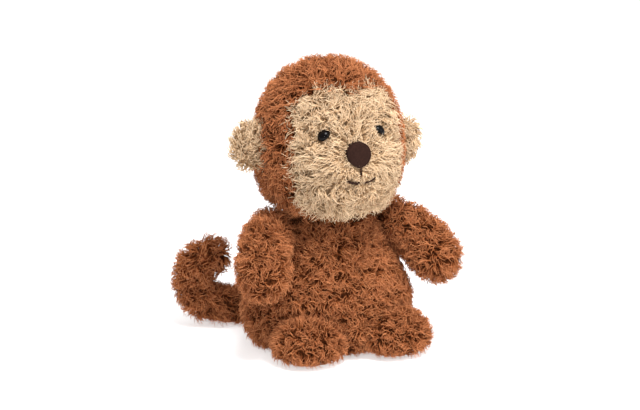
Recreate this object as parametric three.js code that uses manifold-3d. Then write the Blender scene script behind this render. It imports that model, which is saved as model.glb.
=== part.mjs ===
// Seated plush monkey, in millimetres, +Z up, facing -Y, with its own left side on +X.
// The origin is on the floor under the middle of the torso. Fabric pieces are drawn with their
// pile pressed to half its height, so the loose tips of the pile stand a little outside them.
import * as THREE from "three";
import { mergeVertices } from "three/addons/utils/BufferGeometryUtils.js";
import Module from "manifold-3d";

const wasm = await Module();
wasm.setup();

// Fits
const SEAM_GAP = 0.3;
const TURNING_CLEARANCE = 1;
const PILE_FABRIC = 3;

// Torso: a pear with a flat underside
const TORSO_HEIGHT = 86;
const TORSO_HIP_RADIUS = 52;
const TORSO_HIP_HEIGHT = 25;
const TORSO_WAIST_BULGE = 3;
const TORSO_BASE_TUCK = 3.5;
const TORSO_CHEST_RADIUS = 37;
const TORSO_CHEST_HEIGHT = TORSO_HEIGHT - 20;
const TORSO_NECK_RADIUS = TORSO_CHEST_RADIUS - 13;
const TORSO_FLAT_RADIUS = TORSO_HIP_RADIUS - 10;
const TORSO_DEPTH_RATIO = 0.92;
const BASE_PANEL_RADIUS = TORSO_FLAT_RADIUS - 9;
const BASE_PANEL_Y = 3;
const PELLET_POUCH_RADIUS = 22;
const PELLET_POUCH_Y = 6;
const PELLET_POUCH_HEIGHT = 18;

// Neck
const NECK_GAP = 5;
const NECK_WAD_RADIUS = 13;

// Head: a ball with full cheeks below and a muzzle in front
const HEAD_RADIUS = 43.5;
const HEAD_HALF_HEIGHT = 47.5;
const HEAD_UNDERSIDE_FLAT = 7.5;
const HEAD_BOTTOM = TORSO_HEIGHT + NECK_GAP;
const HEAD_CENTRE_HEIGHT = HEAD_BOTTOM + HEAD_HALF_HEIGHT - HEAD_UNDERSIDE_FLAT;
const CHEEK_FULLNESS = 0.45;
const MUZZLE_LENGTH = 12;
const MUZZLE_DROP = 0.3;
const MUZZLE_WIDTH = 0.6;
const FACE_SEAM_SETBACK = 17.5;
const FACE_SEAM_Y = FACE_SEAM_SETBACK - HEAD_RADIUS;

// Eyes, nose and the sewn mouth, placed by their angles seen from the head's centre
const EYE_DIAMETER = 8.4;
const EYE_DOME_HEIGHT = 3.6;
const EYE_RIM = 0.4;
const EYE_AZIMUTH = 25.5;
const EYE_ELEVATION = 14.5;
const EYE_SINK = 1.2;
const EYE_STEM_DIAMETER = 3;
const EYE_STEM_LENGTH = 9;
const EYE_WASHER_DIAMETER = 11;
const EYE_WASHER_THICKNESS = 1.6;
const NOSE_WIDTH = 15.8;
const NOSE_HEIGHT = 14.6;
const NOSE_THICKNESS = 4.4;
const NOSE_ELEVATION = 2.5;
const THREAD_DIAMETER = 1.1;
const PHILTRUM_TOP = -7.5;
const PHILTRUM_BOTTOM = -14.5;
const MOUTH_BOTTOM = -18.5;
const MOUTH_CORNER = -15;
const MOUTH_HALF_WIDTH = 11;

// Ears
const EAR_HEIGHT = 27;
const EAR_REACH = 25;
const EAR_THICKNESS = 10;
const EAR_STAND_OUT = 5.5;
const EAR_HINGE_DEPTH = 1;
const EAR_CENTRE_X = HEAD_RADIUS + EAR_STAND_OUT;
const EAR_CENTRE_Y = 3;
const LEFT_EAR_HEIGHT = HEAD_CENTRE_HEIGHT - 5.5;
const RIGHT_EAR_HEIGHT = HEAD_CENTRE_HEIGHT - 0.5;
const EAR_HINGE_X = HEAD_RADIUS - EAR_HINGE_DEPTH;
const EAR_FOLD = 20;

// Arms: each paw is placed from its shoulder
const ARM_ROOT_RADIUS = 13.2;
const ARM_PAW_RADIUS = 14.2;
const ARM_TO_HEAD_GAP = 1.8;
const SHOULDER_X = TORSO_CHEST_RADIUS + 1.5;
const SHOULDER_Y = -4;
const SHOULDER_Z = HEAD_BOTTOM - ARM_TO_HEAD_GAP - ARM_ROOT_RADIUS;
const LEFT_PAW_REACH = [21.5, -26, -19];
const RIGHT_PAW_REACH = [-18, -30, -17.5];
const ELBOW_OUT = 6;
const ELBOW_UP = 5;
const SHOULDER_WAD_RADIUS = ARM_ROOT_RADIUS - PILE_FABRIC - 3.2;
const ARM_SWING_BACK = 10;
const ARM_LOWER = 4;

// Legs: a short stump that ends in a rounded foot with a flat sole
const LEG_ROOT_RADIUS = 14.5;
const HALF_GAP_BETWEEN_LEGS = 10.5;
const HIP_X = LEG_ROOT_RADIUS + HALF_GAP_BETWEEN_LEGS;
const HIP_Y = -TORSO_HIP_RADIUS / 2;
const FOOT_WIDTH = 43;
const FOOT_LENGTH = 40;
const HALF_GAP_BETWEEN_FEET = 7;
const FOOT_AHEAD_OF_HIP = 12.5;
const FOOT_X = FOOT_WIDTH / 2 + HALF_GAP_BETWEEN_FEET;
const FOOT_Y = HIP_Y - FOOT_AHEAD_OF_HIP;
const FOOT_HEIGHT = 28;
const LEG_LIFT = 15;

// Tail
const TAIL_ROOT_RADIUS = 10;
const TAIL_TIP_RADIUS = 9.5;
const TAIL_ROOT_INSET = 7;
const TAIL_ROOT_Y = TORSO_HIP_RADIUS - TAIL_ROOT_INSET;
const TAIL_WAD_RADIUS = TAIL_ROOT_RADIUS - PILE_FABRIC - 1.5;
const TAIL_SWING = 45;
const TAIL_LIFT = 20;
const TAIL_ROUTE = [
  [0, 0, 0],
  [-20, 12, 0],
  [-40, 16, 0],
  [-58, 20, 4.5],
  [-66, 21, 18],
  [-63, 19.5, 30],
  [-54, 17, 34.5],
];

const UP = new THREE.Vector3(0, 0, 1);
const RIGHT = new THREE.Vector3(1, 0, 0);
const BACK = new THREE.Vector3(0, 1, 0);

// Colours of the materials
const BROWN_PILE = new THREE.MeshStandardMaterial({ color: 0x8f5430, roughness: 0.95, metalness: 0 });
const CREAM_PILE = new THREE.MeshStandardMaterial({ color: 0xcfae86, roughness: 0.95, metalness: 0 });
const WHITE_FIBRE = new THREE.MeshStandardMaterial({ color: 0xeeece6, roughness: 1, metalness: 0 });
const POUCH_CLOTH = new THREE.MeshStandardMaterial({ color: 0xd9d3c4, roughness: 0.9, metalness: 0 });
const BLACK_PLASTIC = new THREE.MeshStandardMaterial({ color: 0x0a0809, roughness: 0.12, metalness: 0 });
const WASHER_PLASTIC = new THREE.MeshStandardMaterial({ color: 0xe6e4de, roughness: 0.5, metalness: 0 });
const DARK_THREAD = new THREE.MeshStandardMaterial({ color: 0x33211a, roughness: 0.8, metalness: 0 });

const toy = new THREE.Group();

// --- Turning geometries into solids and back ---

function toSolid(geometry) {
  const bare = geometry.clone();
  bare.deleteAttribute("normal");
  bare.deleteAttribute("uv");
  const merged = mergeVertices(bare, 1e-4);
  const mesh = new wasm.Mesh({
    numProp: 3,
    vertProperties: Float32Array.from(merged.attributes.position.array),
    triVerts: Uint32Array.from(merged.index.array),
  });
  return new wasm.Manifold(mesh);
}

function toGeometry(solid) {
  const mesh = solid.getMesh();
  const geometry = new THREE.BufferGeometry();
  geometry.setAttribute("position", new THREE.BufferAttribute(mesh.vertProperties, 3));
  geometry.setIndex(new THREE.BufferAttribute(mesh.triVerts, 1));
  geometry.computeVertexNormals();
  return geometry;
}

function addPiece(name, solid, material) {
  const mesh = new THREE.Mesh(toGeometry(solid), material.clone());
  mesh.name = name;
  toy.add(mesh);
}

// --- Basic shapes, each with its poles on the Z axis ---

function ellipsoid(centre, halfSizes, around = 16, down = 8) {
  const geometry = new THREE.SphereGeometry(1, around, down);
  geometry.rotateX(Math.PI / 2);
  geometry.scale(...halfSizes);
  geometry.translate(...centre);
  return geometry;
}

function ball(centre, radius, around = 12, down = 8) {
  return ellipsoid(centre, [radius, radius, radius], around, down);
}

function box(low, high) {
  const size = high.map((value, axis) => value - low[axis]);
  const geometry = new THREE.BoxGeometry(...size);
  geometry.translate(...low.map((value, axis) => value + size[axis] / 2));
  return geometry;
}

// A round bar from one point to another.
function bar(from, to, radius, sides = 12) {
  const start = new THREE.Vector3(...from);
  const along = new THREE.Vector3(...to).sub(start);
  const geometry = new THREE.CylinderGeometry(radius, radius, along.length(), sides);
  geometry.translate(0, along.length() / 2, 0);
  const turn = new THREE.Quaternion().setFromUnitVectors(BACK, along.clone().normalize());
  geometry.applyQuaternion(turn);
  geometry.translate(...from);
  return geometry;
}

// A round-ended sausage laid along a curve, with its radius changing evenly from end to end.
function sausage(curve, startRadius, endRadius, steps = 3, sides = 10) {
  const geometry = new THREE.CapsuleGeometry(1, 1, 3, sides, steps);
  const frames = curve.computeFrenetFrames(steps);
  const position = geometry.attributes.position;
  const placed = new THREE.Vector3();
  for (let i = 0; i < position.count; i += 1) {
    const height = position.getY(i);
    const along = THREE.MathUtils.clamp(height + 0.5, 0, 1);
    const step = Math.round(along * steps);
    const radius = THREE.MathUtils.lerp(startRadius, endRadius, along);
    placed.copy(curve.getPointAt(along));
    placed.addScaledVector(frames.tangents[step], (height + 0.5 - along) * radius);
    placed.addScaledVector(frames.normals[step], position.getX(i) * radius);
    placed.addScaledVector(frames.binormals[step], -position.getZ(i) * radius);
    position.setXYZ(i, placed.x, placed.y, placed.z);
  }
  return geometry;
}

// A thread laid along a curve.
function thread(curve, diameter, steps) {
  const section = new THREE.Shape().absarc(0, 0, diameter / 2, 0, 2 * Math.PI);
  return new THREE.ExtrudeGeometry(section, { extrudePath: curve, steps, curveSegments: 3 });
}

function turned(geometry, pivot, axis, degrees) {
  const moved = geometry.clone();
  moved.translate(-pivot[0], -pivot[1], -pivot[2]);
  const turn = new THREE.Quaternion().setFromAxisAngle(axis, THREE.MathUtils.degToRad(degrees));
  moved.applyQuaternion(turn);
  moved.translate(...pivot);
  return moved;
}

function cutAll(solid, cutters) {
  return cutters.reduce((rest, cutter) => rest.subtract(toSolid(cutter)), solid);
}

// --- Torso and head as solids of any inset, so that covers, linings and stuffing share one shape ---

function torsoSolid(inset, fineness = 2) {
  const waistRadius = (TORSO_HIP_RADIUS + TORSO_CHEST_RADIUS) / 2 + TORSO_WAIST_BULGE;
  const outline = new THREE.SplineCurve([
    new THREE.Vector2(TORSO_FLAT_RADIUS, 0),
    new THREE.Vector2(TORSO_HIP_RADIUS - TORSO_BASE_TUCK, TORSO_HIP_HEIGHT * 0.35),
    new THREE.Vector2(TORSO_HIP_RADIUS, TORSO_HIP_HEIGHT),
    new THREE.Vector2(waistRadius, (TORSO_HIP_HEIGHT + TORSO_CHEST_HEIGHT) / 2),
    new THREE.Vector2(TORSO_CHEST_RADIUS, TORSO_CHEST_HEIGHT),
    new THREE.Vector2(TORSO_NECK_RADIUS, TORSO_HEIGHT),
  ]);
  const profile = [new THREE.Vector2(0, inset)];
  const steps = 4 * fineness;
  for (let i = 0; i <= steps; i += 1) {
    const point = outline.getPoint(i / steps);
    const tangent = outline.getTangent(i / steps);
    const radius = point.x - tangent.y * inset;
    const height = THREE.MathUtils.clamp(point.y + tangent.x * inset, inset, TORSO_HEIGHT - inset);
    profile.push(new THREE.Vector2(radius, height));
  }
  profile.push(new THREE.Vector2(0, TORSO_HEIGHT - inset));
  const geometry = new THREE.LatheGeometry(profile, 12 * fineness);
  geometry.rotateX(Math.PI / 2);
  geometry.scale(1, TORSO_DEPTH_RATIO, 1);
  return toSolid(geometry);
}

// The head's surface point in a direction from its centre, moved in by the inset.
function headPoint(direction, inset) {
  const unit = direction.clone().normalize();
  const low = Math.max(0, -unit.z);
  const sideways = 1 + CHEEK_FULLNESS * low * low;
  const ahead = Math.max(0, -unit.y);
  const spread = (unit.x ** 2 + (unit.z + MUZZLE_DROP) ** 2) / MUZZLE_WIDTH ** 2;
  const point = unit.clone().multiplyScalar(HEAD_RADIUS - inset);
  point.x *= sideways;
  point.y *= sideways;
  point.z = unit.z * (HEAD_HALF_HEIGHT - inset);
  point.y -= MUZZLE_LENGTH * ahead * Math.exp(-spread);
  point.z += HEAD_CENTRE_HEIGHT;
  return point;
}

const NECK_HEIGHT = TORSO_HEIGHT + NECK_GAP / 2;
const FAR = 200;

function headSolid(inset, fineness = 2) {
  const geometry = new THREE.SphereGeometry(1, 12 * fineness, 7 * fineness);
  geometry.rotateX(Math.PI / 2);
  const position = geometry.attributes.position;
  for (let i = 0; i < position.count; i += 1) {
    const point = headPoint(new THREE.Vector3().fromBufferAttribute(position, i), inset);
    position.setXYZ(i, point.x, point.y, point.z);
  }
  const below = box([-FAR, -FAR, -FAR], [FAR, FAR, HEAD_BOTTOM + inset]);
  return toSolid(geometry).subtract(toSolid(below));
}

// A direction from the head's centre, given in degrees to the toy's left and upwards.
function faceDirection(azimuth, elevation) {
  const a = THREE.MathUtils.degToRad(azimuth);
  const e = THREE.MathUtils.degToRad(elevation);
  return new THREE.Vector3(Math.sin(a) * Math.cos(e), -Math.cos(a) * Math.cos(e), Math.sin(e));
}

// --- Limb shapes, for the toy's left (side = 1) or right (side = -1) ---

const shoulder = (side) => [side * SHOULDER_X, SHOULDER_Y, SHOULDER_Z];
const hip = (side) => [side * HIP_X, HIP_Y, LEG_ROOT_RADIUS];
const tailRoot = [0, TAIL_ROOT_Y, TAIL_ROOT_RADIUS + 1];

function armShape(side, inset) {
  const from = new THREE.Vector3(...shoulder(side));
  const reach = side > 0 ? LEFT_PAW_REACH : RIGHT_PAW_REACH;
  const to = from.clone().add(new THREE.Vector3(...reach));
  const middle = from.clone().lerp(to, 0.5).add(new THREE.Vector3(side * ELBOW_OUT, 0, ELBOW_UP));
  const curve = new THREE.QuadraticBezierCurve3(from, middle, to);
  return sausage(curve, ARM_ROOT_RADIUS - inset, ARM_PAW_RADIUS - inset);
}

function legShapes(side, inset) {
  const halfSizes = [FOOT_WIDTH / 2 - inset, FOOT_LENGTH / 2 - inset, FOOT_HEIGHT * 0.55 - inset];
  const foot = ellipsoid([side * FOOT_X, FOOT_Y, FOOT_HEIGHT * 0.45], halfSizes);
  const root = ball(hip(side), LEG_ROOT_RADIUS - inset);
  return [foot, root];
}

function legSolid(side, inset) {
  const [foot, root] = legShapes(side, inset).map(toSolid);
  const below = box([-FAR, -FAR, -FAR], [FAR, FAR, Math.max(0, inset)]);
  return foot.add(root).subtract(toSolid(below));
}

function tailShape(inset) {
  const points = TAIL_ROUTE.map((p) => new THREE.Vector3(...p).add(new THREE.Vector3(...tailRoot)));
  const curve = new THREE.CatmullRomCurve3(points, false, "centripetal");
  return sausage(curve, TAIL_ROOT_RADIUS - inset, TAIL_TIP_RADIUS - inset, 10);
}

// The ears are sewn in by hand, and the right one sits a little higher.
const earHeight = (side) => (side > 0 ? LEFT_EAR_HEIGHT : RIGHT_EAR_HEIGHT);

function earShape(side, inset) {
  const halfSizes = [EAR_REACH / 2 - inset, EAR_THICKNESS / 2 - inset, EAR_HEIGHT / 2 - inset];
  return ellipsoid([side * EAR_CENTRE_X, EAR_CENTRE_Y, earHeight(side)], halfSizes, 16, 10);
}

// --- Room that the limbs need in the pieces they move against ---

function armRoom(side) {
  const arm = armShape(side, -TURNING_CLEARANCE);
  const root = shoulder(side);
  const back = turned(arm, root, RIGHT, ARM_SWING_BACK);
  const loweredBack = turned(back, root, BACK, side * ARM_LOWER);
  return [arm, loweredBack];
}

function legRoom(side) {
  const shapes = legShapes(side, -TURNING_CLEARANCE);
  const lifted = (degrees) => turned(shapes[0], hip(side), RIGHT, -degrees);
  return [...shapes, lifted(LEG_LIFT)];
}

// A round-ended slot about the hinge line, wide enough for the rim of the ear to fold both ways.
function earRoom(side) {
  const rimDepth = EAR_HINGE_X - (EAR_CENTRE_X - EAR_REACH / 2);
  const halfWidth = EAR_THICKNESS / 2 + rimDepth * Math.sin(THREE.MathUtils.degToRad(EAR_FOLD)) + 1;
  const halfSizes = [rimDepth + 1.5, halfWidth, EAR_HEIGHT / 2 + 1];
  return [ellipsoid([side * EAR_HINGE_X, EAR_CENTRE_Y, earHeight(side)], halfSizes, 16, 10)];
}

const sides = [
  { name: "left", side: 1 },
  { name: "right", side: -1 },
];

function tailRoom() {
  const tail = tailShape(-TURNING_CLEARANCE);
  const liftAxis = new THREE.Vector3(...TAIL_ROUTE[2]).setZ(0).normalize().cross(UP);
  const lifted = turned(tail, tailRoot, liftAxis, TAIL_LIFT);
  const liftedAndSwung = turned(lifted, tailRoot, UP, -TAIL_SWING);
  return [tail, lifted, liftedAndSwung];
}

// --- Torso ---

const neckPivot = [0, 0, NECK_HEIGHT];
const neckRoom = ball(neckPivot, NECK_WAD_RADIUS + TURNING_CLEARANCE);
const limbRoom = [...armRoom(1), ...armRoom(-1), ...legRoom(1), ...legRoom(-1), ...tailRoom()];
const pouchCentre = [0, PELLET_POUCH_Y, PILE_FABRIC + SEAM_GAP + PELLET_POUCH_HEIGHT / 2];

function basePlug(radius) {
  return bar([0, BASE_PANEL_Y, -1], [0, BASE_PANEL_Y, PILE_FABRIC + 1], radius, 28);
}

function pouch(grow) {
  const halfSizes = [PELLET_POUCH_RADIUS + grow, PELLET_POUCH_RADIUS + grow, PELLET_POUCH_HEIGHT / 2 + grow];
  return ellipsoid(pouchCentre, halfSizes, 16, 6);
}

const torsoShell = cutAll(torsoSolid(0).subtract(torsoSolid(PILE_FABRIC)), [neckRoom, ...limbRoom]);
const torsoWrap = torsoShell.subtract(toSolid(basePlug(BASE_PANEL_RADIUS + SEAM_GAP)));
const inFront = box([-FAR, -FAR, -FAR], [FAR, SEAM_GAP / 2, FAR]);
const behind = box([-FAR, -SEAM_GAP / 2, -FAR], [FAR, FAR, FAR]);
addPiece("torso_front_panel", torsoWrap.subtract(toSolid(behind)), BROWN_PILE);
addPiece("torso_back_panel", torsoWrap.subtract(toSolid(inFront)), BROWN_PILE);
addPiece("torso_base_panel", torsoShell.intersect(toSolid(basePlug(BASE_PANEL_RADIUS))), BROWN_PILE);

const pouchRoom = [pouch(SEAM_GAP), bar([0, PELLET_POUCH_Y, 0], pouchCentre, PELLET_POUCH_RADIUS * 0.8)];
const torsoStuffing = cutAll(torsoSolid(PILE_FABRIC + SEAM_GAP, 1), [neckRoom, ...limbRoom, ...pouchRoom]);
addPiece("torso_stuffing", torsoStuffing, WHITE_FIBRE);
addPiece("pellet_pouch", toSolid(pouch(0)), POUCH_CLOTH);
addPiece("neck_wad", toSolid(ball(neckPivot, NECK_WAD_RADIUS)), WHITE_FIBRE);

// --- Head ---

// Each eye stands on the face along the direction that the head's surface faces there.
function eyeFrame(side) {
  const azimuth = side * EYE_AZIMUTH;
  const seat = headPoint(faceDirection(azimuth, EYE_ELEVATION), EYE_SINK);
  const outward = faceDirection(azimuth, EYE_ELEVATION);
  return { seat, outward };
}

function alongEye(side, distance) {
  const { seat, outward } = eyeFrame(side);
  return seat.clone().addScaledVector(outward, distance).toArray();
}

function eyeDome(side) {
  const radius = EYE_DIAMETER / 2;
  const profile = [new THREE.Vector2(0, 0), new THREE.Vector2(radius - EYE_RIM, 0)];
  const steps = 4;
  for (let i = 0; i <= steps; i += 1) {
    const angle = (i / steps) * (Math.PI / 2);
    const height = EYE_RIM + (EYE_DOME_HEIGHT - EYE_RIM) * Math.sin(angle);
    profile.push(new THREE.Vector2(radius * Math.cos(angle), height));
  }
  profile[profile.length - 1].x = 0;
  const geometry = new THREE.LatheGeometry(profile, 12);
  const { seat, outward } = eyeFrame(side);
  geometry.applyQuaternion(new THREE.Quaternion().setFromUnitVectors(BACK, outward));
  geometry.translate(...seat.toArray());
  return geometry;
}

function eyeSolid(side) {
  const stem = bar(alongEye(side, 0.5), alongEye(side, -EYE_STEM_LENGTH), EYE_STEM_DIAMETER / 2, 8);
  return toSolid(eyeDome(side)).add(toSolid(stem));
}

function eyeWasher(side) {
  const depth = PILE_FABRIC - EYE_SINK + SEAM_GAP;
  const back = alongEye(side, -depth - EYE_WASHER_THICKNESS);
  const disc = bar(alongEye(side, -depth), back, EYE_WASHER_DIAMETER / 2, 16);
  const hole = bar(alongEye(side, 5), alongEye(side, -FAR / 4), EYE_STEM_DIAMETER / 2 + SEAM_GAP, 8);
  return toSolid(disc).subtract(toSolid(hole));
}

// The seat and stem hole that an eye takes in the face, and the pocket behind it in the stuffing.
function eyeRoomInFace(side) {
  const seat = bar(alongEye(side, -SEAM_GAP), alongEye(side, 10), EYE_DIAMETER / 2 + SEAM_GAP, 16);
  const hole = bar(alongEye(side, 10), alongEye(side, -10), EYE_STEM_DIAMETER / 2 + SEAM_GAP, 8);
  const washerRadius = EYE_WASHER_DIAMETER / 2 + SEAM_GAP;
  const clamped = bar(alongEye(side, EYE_SINK - PILE_FABRIC), alongEye(side, -10), washerRadius, 16);
  return [seat, hole, clamped];
}

function eyeRoomInStuffing(side) {
  const depth = PILE_FABRIC - EYE_SINK + EYE_WASHER_THICKNESS + 3 * SEAM_GAP;
  const pocket = bar(alongEye(side, 10), alongEye(side, -depth), EYE_WASHER_DIAMETER / 2 + SEAM_GAP, 16);
  const holeEnd = alongEye(side, -EYE_STEM_LENGTH - SEAM_GAP);
  const hole = bar(alongEye(side, 10), holeEnd, EYE_STEM_DIAMETER / 2 + SEAM_GAP, 8);
  return [pocket, hole];
}

function noseShape(grow) {
  const centre = headPoint(faceDirection(0, NOSE_ELEVATION), 0);
  const halfSizes = [NOSE_WIDTH / 2 + grow, NOSE_THICKNESS / 2 + grow, NOSE_HEIGHT / 2 + grow];
  return ellipsoid([0, centre.y, centre.z], halfSizes, 16, 6);
}

// A thread on the face through (azimuth, elevation) pairs, half sunk into a groove of its own.
function faceThread(angles, grow) {
  const points = angles.map(([azimuth, elevation]) => headPoint(faceDirection(azimuth, elevation), 0.1));
  const curve = new THREE.CatmullRomCurve3(points);
  const diameter = THREAD_DIAMETER + 2 * grow;
  return thread(curve, diameter, 4);
}

const philtrum = [
  [0, PHILTRUM_TOP],
  [0, (PHILTRUM_TOP + PHILTRUM_BOTTOM) / 2],
  [0, PHILTRUM_BOTTOM],
];

function mouth(side) {
  return [
    [side * 0.9, MOUTH_BOTTOM],
    [side * MOUTH_HALF_WIDTH * 0.55, MOUTH_BOTTOM + (MOUTH_CORNER - MOUTH_BOTTOM) * 0.3],
    [side * MOUTH_HALF_WIDTH, MOUTH_CORNER],
  ];
}

const headShell = cutAll(headSolid(0).subtract(headSolid(PILE_FABRIC)), [neckRoom]);
const beforeSeam = box([-FAR, -FAR, -FAR], [FAR, FACE_SEAM_Y + SEAM_GAP / 2, FAR]);
const afterSeam = box([-FAR, FACE_SEAM_Y - SEAM_GAP / 2, -FAR], [FAR, FAR, FAR]);
const faceRoom = [
  noseShape(SEAM_GAP),
  ...eyeRoomInFace(1),
  ...eyeRoomInFace(-1),
  faceThread(philtrum, SEAM_GAP),
  faceThread(mouth(1), SEAM_GAP),
  faceThread(mouth(-1), SEAM_GAP),
];
addPiece("face_panel", cutAll(headShell.subtract(toSolid(afterSeam)), faceRoom), CREAM_PILE);

const headStuffing = cutAll(headSolid(PILE_FABRIC + SEAM_GAP, 1), [
  neckRoom,
  ...earRoom(1),
  ...earRoom(-1),
  ...eyeRoomInStuffing(1),
  ...eyeRoomInStuffing(-1),
]);
addPiece("head_stuffing", headStuffing, WHITE_FIBRE);
addPiece("nose", toSolid(noseShape(0)), DARK_THREAD);
addPiece("philtrum_stitch", toSolid(faceThread(philtrum, 0)), DARK_THREAD);

const earFront = box([-FAR, -FAR, -FAR], [FAR, EAR_CENTRE_Y + SEAM_GAP / 2, FAR]);
const earBack = box([-FAR, EAR_CENTRE_Y - SEAM_GAP / 2, -FAR], [FAR, FAR, FAR]);

for (const { name, side } of sides) {
  const crownSeam = side * SEAM_GAP / 2;
  const otherLow = [side > 0 ? -FAR : crownSeam, -FAR, -FAR];
  const otherHigh = [side > 0 ? crownSeam : FAR, FAR, FAR];
  const otherHalf = box(otherLow, otherHigh);
  const hood = cutAll(headShell.subtract(toSolid(beforeSeam)), [otherHalf, ...earRoom(side)]);
  addPiece(`${name}_hood_panel`, hood, BROWN_PILE);
  addPiece(`${name}_eye`, eyeSolid(side), BLACK_PLASTIC);
  addPiece(`${name}_eye_washer`, eyeWasher(side), WASHER_PLASTIC);
  addPiece(`${name}_mouth_stitch`, toSolid(faceThread(mouth(side), 0)), DARK_THREAD);

  const ear = toSolid(earShape(side, 0));
  addPiece(`${name}_ear_front_panel`, ear.subtract(toSolid(earBack)), CREAM_PILE);
  addPiece(`${name}_ear_back_panel`, ear.subtract(toSolid(earFront)), CREAM_PILE);
}

// --- Arms ---

for (const { name, side } of sides) {
  const root = shoulder(side);
  const inward = [0, SHOULDER_Y, SHOULDER_Z];
  const mouthOfArm = bar(root, inward, SHOULDER_WAD_RADIUS + TURNING_CLEARANCE);
  const wadRoom = ball(root, SHOULDER_WAD_RADIUS + TURNING_CLEARANCE);
  const cover = toSolid(armShape(side, 0)).subtract(toSolid(armShape(side, PILE_FABRIC)));
  addPiece(`${name}_arm_cover`, cutAll(cover, [mouthOfArm]), BROWN_PILE);
  const stuffing = toSolid(armShape(side, PILE_FABRIC + SEAM_GAP));
  addPiece(`${name}_arm_stuffing`, cutAll(stuffing, [wadRoom, mouthOfArm]), WHITE_FIBRE);
  addPiece(`${name}_shoulder_wad`, toSolid(ball(root, SHOULDER_WAD_RADIUS, 10, 6)), WHITE_FIBRE);
}

// --- Legs ---

for (const { name, side } of sides) {
  const root = hip(side);
  const mouthOfLeg = bar(root, [root[0], root[1] + 40, root[2]], LEG_ROOT_RADIUS * 0.6);
  const cover = legSolid(side, 0).subtract(legSolid(side, PILE_FABRIC));
  addPiece(`${name}_leg_cover`, cutAll(cover, [mouthOfLeg]), BROWN_PILE);
  addPiece(`${name}_leg_stuffing`, legSolid(side, PILE_FABRIC + SEAM_GAP), WHITE_FIBRE);
}

// --- Tail ---

const mouthOfTail = bar(tailRoot, [0, TAIL_ROOT_Y - 40, tailRoot[2]], TAIL_WAD_RADIUS + TURNING_CLEARANCE);
const tailWadRoom = ball(tailRoot, TAIL_WAD_RADIUS + TURNING_CLEARANCE);
const tailCover = toSolid(tailShape(0)).subtract(toSolid(tailShape(PILE_FABRIC)));
addPiece("tail_cover", cutAll(tailCover, [mouthOfTail]), BROWN_PILE);
const tailStuffing = toSolid(tailShape(PILE_FABRIC + SEAM_GAP));
addPiece("tail_stuffing", cutAll(tailStuffing, [tailWadRoom, mouthOfTail]), WHITE_FIBRE);
addPiece("tail_wad", toSolid(ball(tailRoot, TAIL_WAD_RADIUS, 10, 6)), WHITE_FIBRE);

export default toy;
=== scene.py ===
"""The finished look of a small seated plush monkey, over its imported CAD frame.

Metres, +Z up, the face looks along -Y and the toy's own left is +X.
"""
import math

import bmesh
import bpy
from mathutils import Matrix, Vector
from mathutils.bvhtree import BVHTree


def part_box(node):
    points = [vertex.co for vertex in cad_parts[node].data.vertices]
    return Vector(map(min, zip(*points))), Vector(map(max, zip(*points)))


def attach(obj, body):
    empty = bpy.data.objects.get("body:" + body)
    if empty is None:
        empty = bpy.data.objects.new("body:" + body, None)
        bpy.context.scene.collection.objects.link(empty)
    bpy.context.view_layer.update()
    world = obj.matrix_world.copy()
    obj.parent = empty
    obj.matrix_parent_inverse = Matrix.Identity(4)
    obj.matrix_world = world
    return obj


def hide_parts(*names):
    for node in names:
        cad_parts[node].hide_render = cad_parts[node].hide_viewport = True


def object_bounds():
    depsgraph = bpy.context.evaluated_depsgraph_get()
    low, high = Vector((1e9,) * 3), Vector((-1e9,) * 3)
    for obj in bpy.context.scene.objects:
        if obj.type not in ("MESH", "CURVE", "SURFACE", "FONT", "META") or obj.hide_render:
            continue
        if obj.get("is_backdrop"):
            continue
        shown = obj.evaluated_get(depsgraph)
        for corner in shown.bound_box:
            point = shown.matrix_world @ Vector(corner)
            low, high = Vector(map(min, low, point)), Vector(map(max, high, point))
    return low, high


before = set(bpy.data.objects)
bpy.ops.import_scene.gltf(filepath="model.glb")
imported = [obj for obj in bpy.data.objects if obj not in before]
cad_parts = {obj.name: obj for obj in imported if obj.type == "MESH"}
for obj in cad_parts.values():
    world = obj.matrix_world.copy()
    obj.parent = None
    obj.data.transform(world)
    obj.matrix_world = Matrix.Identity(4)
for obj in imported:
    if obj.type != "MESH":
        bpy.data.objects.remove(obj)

MM = 0.001
cad_low, cad_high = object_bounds()

# Cloth and pile
BACKING_DEPTH = 2.4 * MM
PANEL_THICKNESS = 1.2 * MM
PILE_LENGTH = 9.5 * MM
STRAND_WIDTH = 0.66 * MM
FLOOR_CLEARANCE = 0.35 * MM
FACE_SEAM_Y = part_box("face_panel")[1][1]


def middle(node):
    low, high = (Vector(corner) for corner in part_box(node))
    return (low + high) / 2


# ---------------------------------------------------------------------------------------------
# Node trees
# ---------------------------------------------------------------------------------------------


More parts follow.
